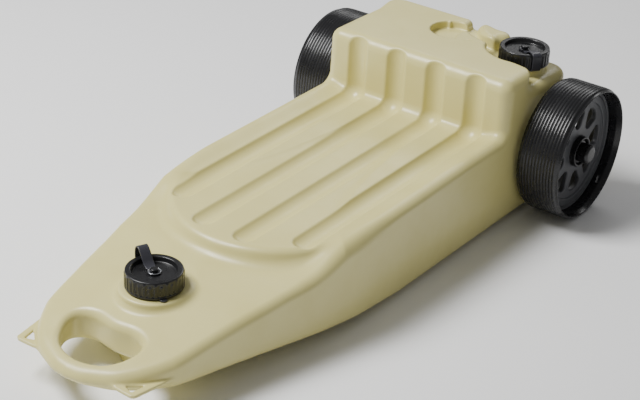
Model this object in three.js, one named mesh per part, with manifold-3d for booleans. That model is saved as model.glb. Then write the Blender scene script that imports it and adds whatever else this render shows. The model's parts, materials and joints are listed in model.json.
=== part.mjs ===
// Portable waste tote: a low blow-moulded tank on two wheels.  It is filled and
// emptied through two necks with screw caps, and pulled by the grip in its nose.
// Millimetres.  +Z is up, the nose points along -Y, and the origin is on the
// ground in the middle of the plan.

import * as THREE from 'three';
import { mergeVertices } from 'three/addons/utils/BufferGeometryUtils.js';
import Module from 'manifold-3d';

const wasm = await Module();
wasm.setup();

// ---- driving dimensions ----------------------------------------------------

const LENGTH = 942;
const NOSE_Y = -LENGTH / 2;
const WHEEL_RADIUS = 100;
const AXLE_Y = LENGTH / 2 - WHEEL_RADIUS;
const AXLE_Z = WHEEL_RADIUS;
const WHEEL_INNER_X = 169.5;
const WHEEL_OUTER_X = 237.5;
const GAP = 0.3;

// tank shell
const WALL = 4;
const TANK_HALF_WIDTH = 162.5;
const BOTTOM_Z = 5;
const PARTING_Z = 50;
const DECK_Z = 137;              // at the block; the deck falls a little from there to the nose
const DECK_FALL = 0.028;
const NOSE_LIFT = 0.075;         // the underside rises by this much per millimetre to the tip
const BLOCK_Z = 226.5;
const BLOCK_FRONT_Y = 251;
const BLOCK_BACK_Y = 434;
const BLOCK_HALF_WIDTH = 161.5;
const BACK_CORNER = 26;
const BLOCK_LOW_Z = 60;            // the block reaches down inside the deck as far as this
const FRONT_CORNER = 24;
const TOP_ROUND = 18;
const EDGE_ROUND = 16;
const TILT_RADIUS = 93;          // the tail stays inside this when tipped on the wheels

// deck front edge: an arc across the tank where the deck steps down to the nose
const LIP_CENTRE_Y = -64;
const LIP_RADIUS = 154;
const LIP_END = [146, -113];

// top of the nose: level from the lip's foot, then falling faster and faster to the tip,
// and crowned by this much at this distance from the middle
const NOSE_TOP = { z: 104, from: -225, slope: 0.105, bend: 0.00035, crown: 6.5, crownX: 130 };
const NOSE_ROUND = 12;
const TIP_ROUND = { top: 34, bottom: 20 };      // how far back the tip's rounding reaches
const NARROW_SHARE = { width: 0.6, height: 0.85 };  // a rounding's most, in a small section
const NOSE_STEP = 0.6;           // keeps the nose's sides just inside the deck's
const SIDE_DRAFT = 2;            // the sides lean in by this above and below the parting line

// four lengthwise grooves that run up the riser
const GROOVE_DEPTH = 9;
const GROOVE_HALF_WIDTH = 16.5;
const GROOVES = [
  { x: 34, tip: -193 },
  { x: 102.5, tip: -157 },
];
const GROOVE_TOP_Z = 220;

// underside
const FOOT = { x: 45, y: -330, halfX: 16, halfY: 12, draft: 4 };
const TROUGH_HALF_MOUTH = 34;
const SEAT_RADIUS = 6.4;

// necks: heights are measured up from the shoulder that the tether ring rests on
const FRONT_NECK = { x: 0, y: -310, shoulder: 97, bore: 24.5, from: 70 };
const REAR_NECK = { x: 109, y: 373, shoulder: 210.4, bore: 24.5, from: 180 };
const NECK_RADIUS = 28.5;
const NECK_TOP = 12.7;
const NECK_BASE_RADIUS = 34;
const NECK_THREAD = { depth: 1.7, root: 3, crest: 1.8 };
const CAP_THREAD = { depth: 1.8, root: 2.6, crest: 1.4 };
const THREAD_PITCH = 6;
const THREAD_TURNS = 1.05;
const THREAD_START = 4.3;
const THREAD_STEPS = 20;
const BOSS_RADIUS = 45;
const POCKET_FLOOR_Z = 200;

// caps
const CAP_RADIUS = 36.7;
const CAP_BOTTOM = 2.2;
const CAP_TOP = 24.6;
const CAP_BORE = 31.2;
const CAP_DISC = [15.3, 18.3];
const CAP_DISH_RADIUS = 27.3;
const CAP_RIBS = 16;
const STUD_RADIUS = 3.2;

// tethers
const STRAP_WIDTH = 12;
const STRAP_THICKNESS = 1.6;
const EYELET = { bore: 3.7, radius: 8.3, bottom: 18.6, top: 20.2 };
const NECK_RING = { bore: 30.7, radius: 34.5, bottom: 0.3, top: 1.7 };
const NUB = { reach: 37.5, length: 9, width: 6 };

// wheels and axle
const AXLE_RADIUS = 6;
const HUB = {
  tube: 23, collar: 22.5, bore: 9.3, counterbore: 20, drum: 86, ring: 76, rim: 91.7,
  innerX: 170, drumX: 172, webX: 206, faceX: 214, counterboreX: 216.2, rimX: 217, endX: 223,
};
const TYRE = { bore: 92, shoulder: 97, crownFromX: 190, crownToX: 217 };
const SPACER = { radius: 13, from: 163.1, to: 169.4 };
const BUSH = { radius: 9, flange: 12, flangeX: 216.6, to: 218.6 };
const WASHER = { radius: 17, from: 219, to: 220.6 };
const AXLE_CAP = { radius: 14.5, from: 221, endX: 235, to: 238 };
const AXLE_END_X = 234.4;
const PETALS = 8;
const WINDOW_START = 0.09;
const ROUND = 36;

// colours
const TAN = { color: 0xd3cca8, roughness: 0.5, metalness: 0 };
const BLACK = { color: 0x17171a, roughness: 0.42, metalness: 0 };
const TYRE_BLACK = { color: 0x1e1e20, roughness: 0.36, metalness: 0 };
const DARK_GREY = { color: 0x3a3a40, roughness: 0.55, metalness: 0 };
const SEAL_RUBBER = { color: 0x26262a, roughness: 0.85, metalness: 0 };
const STEEL = { color: 0xb4b6b9, roughness: 0.35, metalness: 1 };
const NYLON = { color: 0xe4e2d8, roughness: 0.55, metalness: 0 };

// plans, as [x, y] points: the grip's finger opening (right half) and the cuts in the block
const GRIP_PLAN = [
  [0, -447], [28, -441], [44, -429], [54, -411], [55, -396], [47, -386], [30, -381.5], [0, -385],
];
const POCKET_PLAN = [
  [210, 300], [168, 303], [150, 323], [125, 328], [96, 328], [72, 337], [57, 351], [50, 370],
  [52, 392], [62, 412], [66, 470], [210, 470],
];
const VALLEY_PLAN = [
  [-10, 470], [-10, 418], [-4, 398], [8, 381], [28, 371], [58, 366], [58, 382], [34, 386],
  [18, 394], [9, 404], [4, 418], [4, 470],
];
const VALLEY_FLOOR_Z = 210;
const TRAY = { x: -16, y: 373, radius: 33, depth: 12, mouth: [0.52, -0.42] };

// tie-down lug at the right of the grip and its eye
const LUG_PLAN = [[42, -440], [50, -452], [92, -454], [97, -450], [108, -388], [80, -400]];
const LUG_EYE_PLAN = [[76, -443], [87, -446], [90, -429]];
const LUG_THICKNESS = 4.4;

// ---- solids ----------------------------------------------------------------

function solidOf(geometry) {
  const bare = new THREE.BufferGeometry();
  bare.setAttribute('position', geometry.attributes.position.clone());
  if (geometry.index) bare.setIndex(geometry.index.clone());
  const merged = mergeVertices(bare, 1e-4);
  const index = merged.index.array;
  const triVerts = [];
  for (let i = 0; i < index.length; i += 3) {
    const [a, b, c] = [index[i], index[i + 1], index[i + 2]];
    if (a !== b && b !== c && c !== a) triVerts.push(a, b, c);
  }
  return new wasm.Manifold(new wasm.Mesh({
    numProp: 3,
    vertProperties: new Float32Array(merged.attributes.position.array),
    triVerts: new Uint32Array(triVerts),
  }));
}

function geometryOf(solid) {
  const mesh = solid.getMesh();
  const geometry = new THREE.BufferGeometry();
  geometry.setAttribute('position', new THREE.BufferAttribute(mesh.vertProperties, 3));
  geometry.setIndex(new THREE.BufferAttribute(mesh.triVerts, 1));
  geometry.computeVertexNormals();
  return geometry;
}

function union(solids) {
  return solids.reduce((whole, solid) => whole.add(solid));
}

function without(solid, cutters) {
  return cutters.reduce((rest, cutter) => rest.subtract(cutter), solid);
}

// A plan outline raised from zLow to zHigh, its edges rounded inside the outline.
// An inset shrinks the plan, and a negative inset grows it.
function slab(outline, zLow, zHigh, round = 0, inset = 0, steps = 4) {
  const geometry = new THREE.ExtrudeGeometry(new THREE.Shape(outline), {
    depth: zHigh - zLow - 2 * round,
    bevelEnabled: round !== 0 || inset !== 0,
    bevelThickness: round,
    bevelSize: round,
    bevelOffset: -round - inset,
    bevelSegments: steps,
  });
  return geometry.translate(0, 0, zLow + round);
}

// A profile of [radius, height] pairs turned about +Z.
function turned(profile, segments = ROUND) {
  const points = profile.map(([radius, height]) => new THREE.Vector2(radius, height));
  return new THREE.LatheGeometry(points, segments).rotateX(Math.PI / 2);
}

// A closed ring of profile points turned about +Z: the last point meets the first.
function turnedRing(profile, segments = ROUND) {
  return turned([...profile, profile[0]], segments);
}

// Rings of equally many points, skinned along their length and closed at both ends.
function loft(rings) {
  const count = rings[0].length;
  const positions = [];
  const index = [];
  rings.forEach((ring) => ring.forEach((p) => positions.push(p.x, p.y, p.z)));
  for (let i = 0; i + 1 < rings.length; i += 1) {
    for (let j = 0; j < count; j += 1) {
      const a = i * count + j;
      const b = i * count + (j + 1) % count;
      index.push(a, b, a + count, b, b + count, a + count);
    }
  }
  [0, rings.length - 1].forEach((end, side) => {
    const centre = rings[end].reduce((sum, p) => sum.add(p), new THREE.Vector3());
    centre.divideScalar(count);
    positions.push(centre.x, centre.y, centre.z);
    const hub = positions.length / 3 - 1;
    for (let j = 0; j < count; j += 1) {
      const a = end * count + j;
      const b = end * count + (j + 1) % count;
      index.push(...(side ? [a, b, hub] : [b, a, hub]));
    }
  });
  const geometry = new THREE.BufferGeometry();
  geometry.setAttribute('position', new THREE.Float32BufferAttribute(positions, 3));
  geometry.setIndex(index);
  return geometry;
}

// A smooth closed outline through right-hand points, mirrored to the left.
function mirroredOutline(rightPoints, count) {
  const right = rightPoints.map(([x, y]) => new THREE.Vector3(x, y, 0));
  const inner = rightPoints.filter(([x]) => x > 0).reverse();
  const left = inner.map(([x, y]) => new THREE.Vector3(-x, y, 0));
  const curve = new THREE.CatmullRomCurve3([...right, ...left], true, 'centripetal');
  return curve.getPoints(count).slice(0, -1).map((p) => new THREE.Vector2(p.x, p.y));
}

// ---- tank ------------------------------------------------------------------

// The right-hand edge of the tank's parting line, from the nose tip to the tail.
const EDGE = new THREE.CatmullRomCurve3([
  [-38, -462], [0, NOSE_Y], [38, -462], [62, -450.5], [80, -434], [93, -417.5], [104, -399],
  [111.5, -380], [123, -320], [135, -260], [147.5, -200], [155, -160], [160, -120],
  [TANK_HALF_WIDTH, -80], [TANK_HALF_WIDTH, 60],
].map(([x, y]) => new THREE.Vector3(x, y, 0)), false, 'centripetal');
const EDGE_FINE = EDGE.getPoints(240).filter((p) => p.x >= -1e-6);

function halfWidth(y) {
  const next = EDGE_FINE.findIndex((p) => p.y >= y);
  if (next < 0) return TANK_HALF_WIDTH;
  if (next === 0) return EDGE_FINE[0].x;
  const [a, b] = [EDGE_FINE[next - 1], EDGE_FINE[next]];
  return THREE.MathUtils.mapLinear(y, a.y, b.y, a.x, b.x);
}

function noseTop(y) {
  const run = Math.max(0, NOSE_TOP.from - y);
  return NOSE_TOP.z - NOSE_TOP.slope * run - NOSE_TOP.bend * run * run;
}

function deckTop(y) {
  return DECK_Z - DECK_FALL * (BLOCK_FRONT_Y - y);
}

function underside(y) {
  return BOTTOM_Z + NOSE_LIFT * Math.max(0, -y);
}

// The deck's plan: straight sides, round tail corners and the arc of the front lip.
function deckOutline() {
  const points = [];
  const arc = (cx, cy, radius, from, to, steps) => {
    for (let i = 0; i <= steps; i += 1) {
      const turn = from + ((to - from) * i) / steps;
      points.push(new THREE.Vector2(cx + radius * Math.cos(turn), cy + radius * Math.sin(turn)));
    }
  };
  const cornerX = TANK_HALF_WIDTH - BACK_CORNER;
  const cornerY = BLOCK_BACK_Y - BACK_CORNER;
  const lipEnd = Math.atan2(LIP_END[1] - LIP_CENTRE_Y, LIP_END[0]);
  const sideYs = [-92, -65, -25];
  sideYs.forEach((y) => points.push(new THREE.Vector2(halfWidth(y), y)));
  points.push(new THREE.Vector2(TANK_HALF_WIDTH, AXLE_Y));
  arc(cornerX, cornerY, BACK_CORNER, 0, Math.PI / 2, 3);
  arc(-cornerX, cornerY, BACK_CORNER, Math.PI / 2, Math.PI, 3);
  points.push(new THREE.Vector2(-TANK_HALF_WIDTH, AXLE_Y));
  sideYs.reverse().forEach((y) => points.push(new THREE.Vector2(-halfWidth(y), y)));
  arc(0, LIP_CENTRE_Y, LIP_RADIUS, -Math.PI - lipEnd, lipEnd, 16);
  return points;
}

// The tail's underside lifts so that it clears the ground when the tote is tipped.
function liftTail(geometry, radius) {
  const position = geometry.attributes.position;
  for (let i = 0; i < position.count; i += 1) {
    const behind = position.getY(i) - AXLE_Y;
    const lowest = AXLE_Z - Math.sqrt(radius * radius - Math.min(behind * behind, radius * radius));
    if (behind > 0.1 && position.getZ(i) < lowest) position.setZ(i, lowest);
  }
  return geometry;
}

// The top and the underside of a level slab, brought to the slopes of the deck and the belly.
function sloped(geometry) {
  const position = geometry.attributes.position;
  for (let i = 0; i < position.count; i += 1) {
    const y = position.getY(i);
    const z = position.getZ(i);
    const above = Math.max(0, z - PARTING_Z) / (DECK_Z - PARTING_Z);
    const below = Math.max(0, PARTING_Z - z) / (PARTING_Z - BOTTOM_Z);
    position.setZ(i, z + above * (deckTop(y) - DECK_Z) + below * (underside(y) - BOTTOM_Z));
  }
  return geometry;
}

// Everything cut along the deck falls with it.
function alongDeck(geometry) {
  const position = geometry.attributes.position;
  for (let i = 0; i < position.count; i += 1) {
    position.setZ(i, position.getZ(i) + deckTop(position.getY(i)) - DECK_Z);
  }
  return geometry;
}

function deckBody(inset) {
  const geometry = slab(deckOutline(), BOTTOM_Z + inset, DECK_Z - inset, EDGE_ROUND - inset, inset,
    inset ? 1 : 3);
  return solidOf(liftTail(sloped(geometry), TILT_RADIUS - inset));
}

// One upright section of the nose at y, from the middle of the top round to it again.
function noseSection(y, inset) {
  const fromTip = y - NOSE_Y - inset;
  const tipRound = (reach) => {
    const left = Math.max(0, 1 - fromTip / reach);
    return Math.sqrt(1 - left * left);
  };
  const width = Math.max(0, halfWidth(y) - NOSE_STEP - inset);
  const top = PARTING_Z + (noseTop(y) - inset - PARTING_Z) * tipRound(TIP_ROUND.top);
  const bottom = PARTING_Z - (PARTING_Z - underside(y) - inset) * tipRound(TIP_ROUND.bottom);
  const crown = NOSE_TOP.crown * (width / NOSE_TOP.crownX) ** 2;
  const widest = width * NARROW_SHARE.width;
  const roundTop = Math.min(NOSE_ROUND, widest, (top - crown - PARTING_Z) * NARROW_SHARE.height);
  const roundBottom = Math.min(EDGE_ROUND, widest, (PARTING_Z - bottom) * NARROW_SHARE.height);
  const right = [[width / 2, top - crown / 4]];
  const steps = inset ? 1 : 3;
  for (let i = 0; i <= steps; i += 1) {
    const turn = (Math.PI / 2) * (1 - i / steps);
    right.push([width - SIDE_DRAFT - roundTop * (1 - Math.cos(turn)),
      top - crown - roundTop * (1 - Math.sin(turn))]);
  }
  right.push([width, PARTING_Z]);
  for (let i = 0; i <= steps; i += 1) {
    const turn = (-Math.PI / 2) * (i / steps);
    right.push([width - SIDE_DRAFT - roundBottom * (1 - Math.cos(turn)),
      bottom + roundBottom * (1 + Math.sin(turn))]);
  }
  const left = right.map(([x, z]) => [-x, z]).reverse();
  const clampX = (x) => (width < 4 ? 0 : x);
  return [[0, top], ...right, ...left].map(([x, z]) => new THREE.Vector3(clampX(x), y, z));
}

function noseBody(inset) {
  const tip = NOSE_Y + inset;
  const rear = -60;
  const reaches = [0, 2, 7, 15, 27, 42, 62, 92, 140, 200, 260, 310, 355];
  const rings = reaches.map((reach) => noseSection(tip + reach, inset));
  rings.push(noseSection(rear, inset));
  rings[0].forEach((p) => p.set(0, tip, PARTING_Z));
  return solidOf(loft(rings));
}

function blockBody(inset) {
  const cornerY = BLOCK_BACK_Y - 1 - BACK_CORNER;
  const outline = new THREE.Shape();
  outline.moveTo(-BLOCK_HALF_WIDTH + FRONT_CORNER, BLOCK_FRONT_Y);
  outline.lineTo(BLOCK_HALF_WIDTH - FRONT_CORNER, BLOCK_FRONT_Y);
  outline.absarc(BLOCK_HALF_WIDTH - FRONT_CORNER, BLOCK_FRONT_Y + FRONT_CORNER, FRONT_CORNER,
    -Math.PI / 2, 0);
  outline.absarc(BLOCK_HALF_WIDTH - BACK_CORNER, cornerY, BACK_CORNER, 0, Math.PI / 2);
  outline.absarc(-BLOCK_HALF_WIDTH + BACK_CORNER, cornerY, BACK_CORNER, Math.PI / 2, Math.PI);
  outline.absarc(-BLOCK_HALF_WIDTH + FRONT_CORNER, BLOCK_FRONT_Y + FRONT_CORNER, FRONT_CORNER,
    Math.PI, 1.5 * Math.PI);
  const points = outline.getPoints(3);
  const geometry = slab(points, BLOCK_LOW_Z, BLOCK_Z - inset, TOP_ROUND - inset, inset,
    inset ? 1 : 3);
  return solidOf(geometry);
}

// Round-ended cutters: one along the deck and one up the riser for every groove.
function grooveCutters() {
  const radius = (GROOVE_HALF_WIDTH ** 2 + GROOVE_DEPTH ** 2) / (2 * GROOVE_DEPTH);
  const axisZ = DECK_Z - GROOVE_DEPTH + radius;
  const axisY = BLOCK_FRONT_Y + GROOVE_DEPTH - radius;
  const top = GROOVE_TOP_Z - GROOVE_HALF_WIDTH;
  const cutters = [];
  GROOVES.forEach(({ x, tip }) => [-x, x].forEach((side) => {
    const start = tip + GROOVE_HALF_WIDTH;
    const along = new THREE.CapsuleGeometry(radius, axisY - start, 2, 12);
    cutters.push(solidOf(alongDeck(along.translate(side, (axisY + start) / 2, axisZ))));
    const upright = new THREE.CapsuleGeometry(radius, top - axisZ, 2, 12).rotateX(Math.PI / 2);
    cutters.push(solidOf(upright.translate(side, axisY, (axisZ + top) / 2)));
  }));
  return cutters;
}

// The shell's inner side under the grooves: a plain box along the deck and the riser.
function grooveWalls() {
  const width = 2 * (GROOVE_HALF_WIDTH + 2);
  const depth = GROOVE_DEPTH + WALL;
  const walls = [];
  GROOVES.forEach(({ x, tip }) => [-x, x].forEach((side) => {
    const length = BLOCK_FRONT_Y - tip + depth;
    const along = new THREE.BoxGeometry(width, length, 2 * depth);
    walls.push(solidOf(alongDeck(along.translate(side, tip + length / 2, DECK_Z))));
    const height = GROOVE_TOP_Z - DECK_Z + WALL;
    const upright = new THREE.BoxGeometry(width, 2 * depth, height);
    walls.push(solidOf(upright.translate(side, BLOCK_FRONT_Y, DECK_Z + height / 2)));
  }));
  return walls;
}

// The finger opening behind the grip: a bean with its waist towards the tank.
function gripOutline() {
  return mirroredOutline(GRIP_PLAN, 32);
}

// A V-shaped trough across the underside with a round seat for the axle at its top.
function troughCutter(wall) {
  const shape = new THREE.Shape();
  const seat = SEAT_RADIUS + wall;
  const mouth = TROUGH_HALF_MOUTH + wall;
  shape.moveTo(-mouth, -AXLE_Z - 2);
  shape.lineTo(mouth, -AXLE_Z - 2);
  shape.lineTo(seat * 0.94, -seat * 0.34);
  shape.absarc(0, 0, seat, -0.35, Math.PI + 0.35);
  const geometry = new THREE.ExtrudeGeometry(shape, {
    depth: 4 * TANK_HALF_WIDTH, bevelEnabled: false, curveSegments: 12,
  });
  geometry.translate(0, 0, -2 * TANK_HALF_WIDTH);
  geometry.rotateX(Math.PI / 2).rotateZ(Math.PI / 2);
  return solidOf(geometry.translate(0, AXLE_Y, AXLE_Z));
}

// Rear neck's pocket, the valley round the knob, and the round tray with its outlet.
function topCutters(wall) {
  const above = BLOCK_Z + 30;
  const grow = -wall;
  const vectors = (points) => points.map(([x, y]) => new THREE.Vector2(x, y));
  const [mouthFrom, mouthTo] = TRAY.mouth;
  const tray = new THREE.Shape()
    .absarc(TRAY.x, TRAY.y, TRAY.radius, mouthFrom, 2 * Math.PI + mouthTo).getPoints(20);
  return [
    solidOf(slab(vectors(POCKET_PLAN), POCKET_FLOOR_Z - wall, above, 0, grow)),
    solidOf(slab(vectors(VALLEY_PLAN), VALLEY_FLOOR_Z - wall, above, 0, grow)),
    solidOf(slab(tray, BLOCK_Z - TRAY.depth - wall, above, 0, grow)),
  ];
}

function footBlock(x, y) {
  const { halfX, halfY, draft } = FOOT;
  const level = (z, grow) => [
    [halfX + grow, halfY + grow], [-halfX - grow, halfY + grow],
    [-halfX - grow, -halfY - grow], [halfX + grow, -halfY - grow],
  ].map(([dx, dy]) => new THREE.Vector3(x + dx, y + dy, z));
  return solidOf(loft([level(0, 0), level(underside(y) + 2, draft)]));
}

// A thin triangular tie-down lug on the parting line, at one side of the grip.
function lug(side) {
  const vectors = (points) => {
    const placed = points.map(([x, y]) => new THREE.Vector2(side * x, y));
    return side > 0 ? placed : placed.reverse();
  };
  const shape = new THREE.Shape(vectors(LUG_PLAN));
  shape.holes.push(new THREE.Path(vectors(LUG_EYE_PLAN)));
  const geometry = new THREE.ExtrudeGeometry(shape, { depth: LUG_THICKNESS, bevelEnabled: false });
  return solidOf(geometry.translate(0, 0, PARTING_Z - LUG_THICKNESS / 2));
}

// A helical ridge on a wall, outward for side 1 and inward for side -1, faded at both ends.
function threadRidge(rootRadius, side, { depth, root, crest: top }) {
  const rings = [];
  for (let i = 0; i <= THREAD_STEPS; i += 1) {
    const along = i / THREAD_STEPS;
    const turn = 2 * Math.PI * THREAD_TURNS * along;
    const z = THREAD_START + THREAD_PITCH * THREAD_TURNS * along;
    const fade = Math.min(1, 0.25 + 6 * Math.min(along, 1 - along));
    const crest = rootRadius + side * depth * fade;
    const anchor = rootRadius - side * 0.8;
    const corner = (radius, height) => new THREE.Vector3(
      radius * Math.cos(turn), radius * Math.sin(turn), z + height);
    const ring = [
      corner(anchor, -root / 2), corner(crest, -top / 2),
      corner(crest, top / 2), corner(anchor, root / 2),
    ];
    rings.push(side > 0 ? ring.reverse() : ring);
  }
  return loft(rings);
}

function neckSolid({ x, y, shoulder, from }) {
  const tube = turned([
    [0, from - shoulder], [NECK_BASE_RADIUS, from - shoulder], [NECK_BASE_RADIUS, 0],
    [NECK_RADIUS, 0], [NECK_RADIUS, NECK_TOP], [0, NECK_TOP],
  ], 24);
  const thread = threadRidge(NECK_RADIUS, 1, NECK_THREAD);
  return solidOf(tube.translate(x, y, shoulder)).add(solidOf(thread.translate(x, y, shoulder)));
}

function neckBore({ x, y, shoulder, bore, from }) {
  const cutter = turned([[0, from - 15], [bore, from - 15],
    [bore, shoulder + NECK_TOP + 5], [0, shoulder + NECK_TOP + 5]], 24);
  return solidOf(cutter.translate(x, y, 0));
}

function frontBoss() {
  const { x, y, shoulder, from } = FRONT_NECK;
  const boss = turned([[0, from], [BOSS_RADIUS + 4, from], [BOSS_RADIUS, shoulder - 2],
    [BOSS_RADIUS - 2, shoulder], [0, shoulder]], 28);
  return solidOf(boss.translate(x, y, 0));
}

// Clears the sloping deck from the flat shoulder that the front cap closes down on.
function landingCutter(wall) {
  const { x, y, shoulder } = FRONT_NECK;
  const cutter = turned([[0, -wall], [BOSS_RADIUS + wall, -wall],
    [BOSS_RADIUS + wall + 14, 14 - wall], [0, 14 - wall]], 28);
  return solidOf(cutter.translate(x, y, shoulder));
}

function tank() {
  const outer = without(union([deckBody(0), noseBody(0), blockBody(0)]), [
    ...grooveCutters(), ...topCutters(0), troughCutter(0), landingCutter(0),
  ]);
  const grip = solidOf(slab(gripOutline(), -10, DECK_Z));
  const shell = without(union([
    outer, frontBoss(), neckSolid(FRONT_NECK), neckSolid(REAR_NECK),
    lug(-1), lug(1), footBlock(-FOOT.x, FOOT.y), footBlock(FOOT.x, FOOT.y),
  ]), [grip]);
  const gripWall = solidOf(slab(gripOutline(), -10, DECK_Z, 0, -WALL));
  const cavity = without(union([deckBody(WALL), noseBody(WALL), blockBody(WALL)]), [
    ...grooveWalls(), ...topCutters(WALL), troughCutter(WALL),
    landingCutter(WALL), gripWall,
  ]);
  return without(shell, [cavity, neckBore(FRONT_NECK), neckBore(REAR_NECK)]);
}

// ---- caps, seals and tethers -------------------------------------------------

function ribbedOutline() {
  const points = [];
  const pitch = (2 * Math.PI) / CAP_RIBS;
  const spots = [[-0.3, 0], [-0.15, 0.8], [0.15, 0.8], [0.3, 0]];
  for (let i = 0; i < CAP_RIBS; i += 1) {
    spots.forEach(([offset, rise]) => {
      const turn = (i + offset) * pitch;
      const radius = CAP_RADIUS - 0.8 + rise;
      points.push(new THREE.Vector2(radius * Math.cos(turn), radius * Math.sin(turn)));
    });
  }
  return points;
}

function cap() {
  const [discLow, discHigh] = CAP_DISC;
  const skirt = solidOf(slab(ribbedOutline(), CAP_BOTTOM + 2, CAP_TOP - 3));
  const flare = solidOf(turned([[0, CAP_BOTTOM], [CAP_RADIUS + 0.8, CAP_BOTTOM],
    [CAP_RADIUS + 0.8, CAP_BOTTOM + 2.4], [0, CAP_BOTTOM + 2.4]], 28));
  const rim = solidOf(turned([[0, CAP_TOP - 4], [CAP_RADIUS - 0.1, CAP_TOP - 4],
    [CAP_RADIUS - 0.1, CAP_TOP - 1.6], [CAP_RADIUS - 1.6, CAP_TOP], [0, CAP_TOP]], 28));
  const dish = solidOf(turned([[0, discHigh], [CAP_DISH_RADIUS, discHigh],
    [CAP_DISH_RADIUS + 1, CAP_TOP + 1], [0, CAP_TOP + 1]], 24));
  const well = solidOf(turned([[0, CAP_BOTTOM - 1], [CAP_BORE, CAP_BOTTOM - 1],
    [CAP_BORE, discLow], [0, discLow]], 24));
  const hole = solidOf(turned([[0, 0], [STUD_RADIUS + GAP, 0], [STUD_RADIUS + GAP, CAP_TOP],
    [0, CAP_TOP]], 16));
  const shell = without(union([skirt, flare, rim]), [dish, well, hole]);
  const thread = threadRidge(CAP_BORE, -1, CAP_THREAD);
  return shell.add(solidOf(thread.rotateZ(Math.PI)));
}

function seal() {
  return solidOf(turnedRing([[22, 13], [30.6, 13], [30.6, 15], [22, 15]], 24));
}

function stud() {
  return solidOf(turned([[0, 13], [6, 13], [6, 15], [STUD_RADIUS, 15], [STUD_RADIUS, 20.5],
    [4.8, 20.5], [4.8, 22.3], [3.6, 23.4], [0, 23.8]], 20));
}

function flatRing({ bore, radius, bottom, top }, segments) {
  return solidOf(turnedRing([[bore, bottom], [radius, bottom], [radius, top], [bore, top]],
    segments));
}

// A flat strap from the eyelet round the stud to the ring round the neck.
// The route is a list of [reach, height] points in an upright plane.
function tether(route, heading, nubHeading) {
  const curve = new THREE.CatmullRomCurve3(
    route.map(([reach, height]) => new THREE.Vector3(reach, 0, height)), false, 'centripetal');
  const steps = 18;
  const rings = [];
  for (let i = 0; i <= steps; i += 1) {
    const at = curve.getPointAt(i / steps);
    const tangent = curve.getTangentAt(i / steps);
    const normal = new THREE.Vector3(-tangent.z, 0, tangent.x);
    const taper = THREE.MathUtils.lerp(8.6, STRAP_WIDTH, Math.min(1, i / 5)) / 2;
    rings.push([[1, 1], [-1, 1], [-1, -1], [1, -1]].map(([side, face]) => at.clone()
      .addScaledVector(normal, (face * STRAP_THICKNESS) / 2)
      .add(new THREE.Vector3(0, side * taper, 0))));
  }
  const strap = solidOf(loft(rings).rotateZ(THREE.MathUtils.degToRad(heading)));
  const eyelet = flatRing(EYELET, 24);
  const ring = flatRing(NECK_RING, 28);
  const nub = new THREE.BoxGeometry(NUB.length, NUB.width, STRAP_THICKNESS);
  nub.translate(NUB.reach, 0, (NECK_RING.bottom + NECK_RING.top) / 2);
  return union([strap, eyelet, ring, solidOf(nub.rotateZ(THREE.MathUtils.degToRad(nubHeading)))]);
}

const FRONT_ROUTE = [
  [7, 19.4], [12, 20.6], [18, 28], [24.5, 39], [31, 46.5], [37.5, 47.5], [42.5, 42], [44, 30],
  [43.4, 16], [42.6, 6.5], [40.6, 2.2], [37, 1], [33, 1],
];
const REAR_ROUTE = [
  [7, 19.4], [13, 19.6], [19, 22.4], [25, 26.2], [31, 27], [36.5, 26.6], [39.9, 23.5],
  [40.5, 16], [40.4, 8], [40.2, 4.2], [38.9, 1.7], [36.5, 1], [33, 1],
];

// ---- wheels and axle: turned about the axle, +Z here runs outboard -----------

function hub() {
  const body = solidOf(turned([
    [0, HUB.innerX], [HUB.tube, HUB.innerX], [HUB.tube, HUB.webX], [HUB.drum - 6, HUB.webX],
    [HUB.drum, HUB.webX - 6], [HUB.drum, HUB.drumX], [HUB.rim, HUB.drumX], [HUB.rim, HUB.rimX],
    [HUB.ring, HUB.rimX], [HUB.ring - 3, HUB.faceX], [HUB.collar, HUB.faceX],
    [HUB.collar, HUB.endX], [0, HUB.endX],
  ]));
  const bore = solidOf(turned([[0, HUB.innerX - 10], [HUB.bore, HUB.innerX - 10],
    [HUB.bore, HUB.counterboreX], [HUB.counterbore, HUB.counterboreX],
    [HUB.counterbore, HUB.endX + 5], [0, HUB.endX + 5]], 24));
  const windows = [];
  for (let i = 0; i < PETALS; i += 1) windows.push(petal(WINDOW_START + (2 * Math.PI * i) / PETALS));
  return without(body, [bore, ...windows]);
}

// One egg-shaped window between two spokes, its wide end outwards, at the angle given.
function petal(turn) {
  const outline = [[36, 0], [40, -6.5], [56, -15], [63, -13], [66, 0], [63, 13], [56, 15],
    [40, 6.5]].map(([x, y]) => new THREE.Vector2(x, y));
  return solidOf(slab(outline, HUB.webX - 10, HUB.faceX + 10).rotateZ(turn));
}

function tyre() {
  const { bore, shoulder, crownFromX, crownToX } = TYRE;
  const edge = shoulder + 1.4;
  return solidOf(turnedRing([
    [bore, WHEEL_INNER_X], [shoulder, WHEEL_INNER_X], [edge, WHEEL_INNER_X + 1.5],
    [WHEEL_RADIUS, crownFromX], [WHEEL_RADIUS, crownToX], [edge, WHEEL_OUTER_X - 1.5],
    [shoulder, WHEEL_OUTER_X], [bore, WHEEL_OUTER_X],
  ]));
}

function sleeve({ radius, from, to }) {
  return flatRing({ bore: AXLE_RADIUS + GAP, radius, bottom: from, top: to }, 20);
}

function bush() {
  const bore = AXLE_RADIUS + GAP;
  return solidOf(turnedRing([[bore, HUB.innerX], [BUSH.radius, HUB.innerX],
    [BUSH.radius, BUSH.flangeX], [BUSH.flange, BUSH.flangeX], [BUSH.flange, BUSH.to],
    [bore, BUSH.to]], 24));
}

function axleCap() {
  const bore = AXLE_RADIUS + GAP;
  const { radius, from, endX, to } = AXLE_CAP;
  return solidOf(turned([[0, endX], [bore, endX], [bore, from], [radius, from],
    [radius, endX - 0.4], [radius - 1.6, to - 0.9], [0, to]], 24));
}

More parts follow.
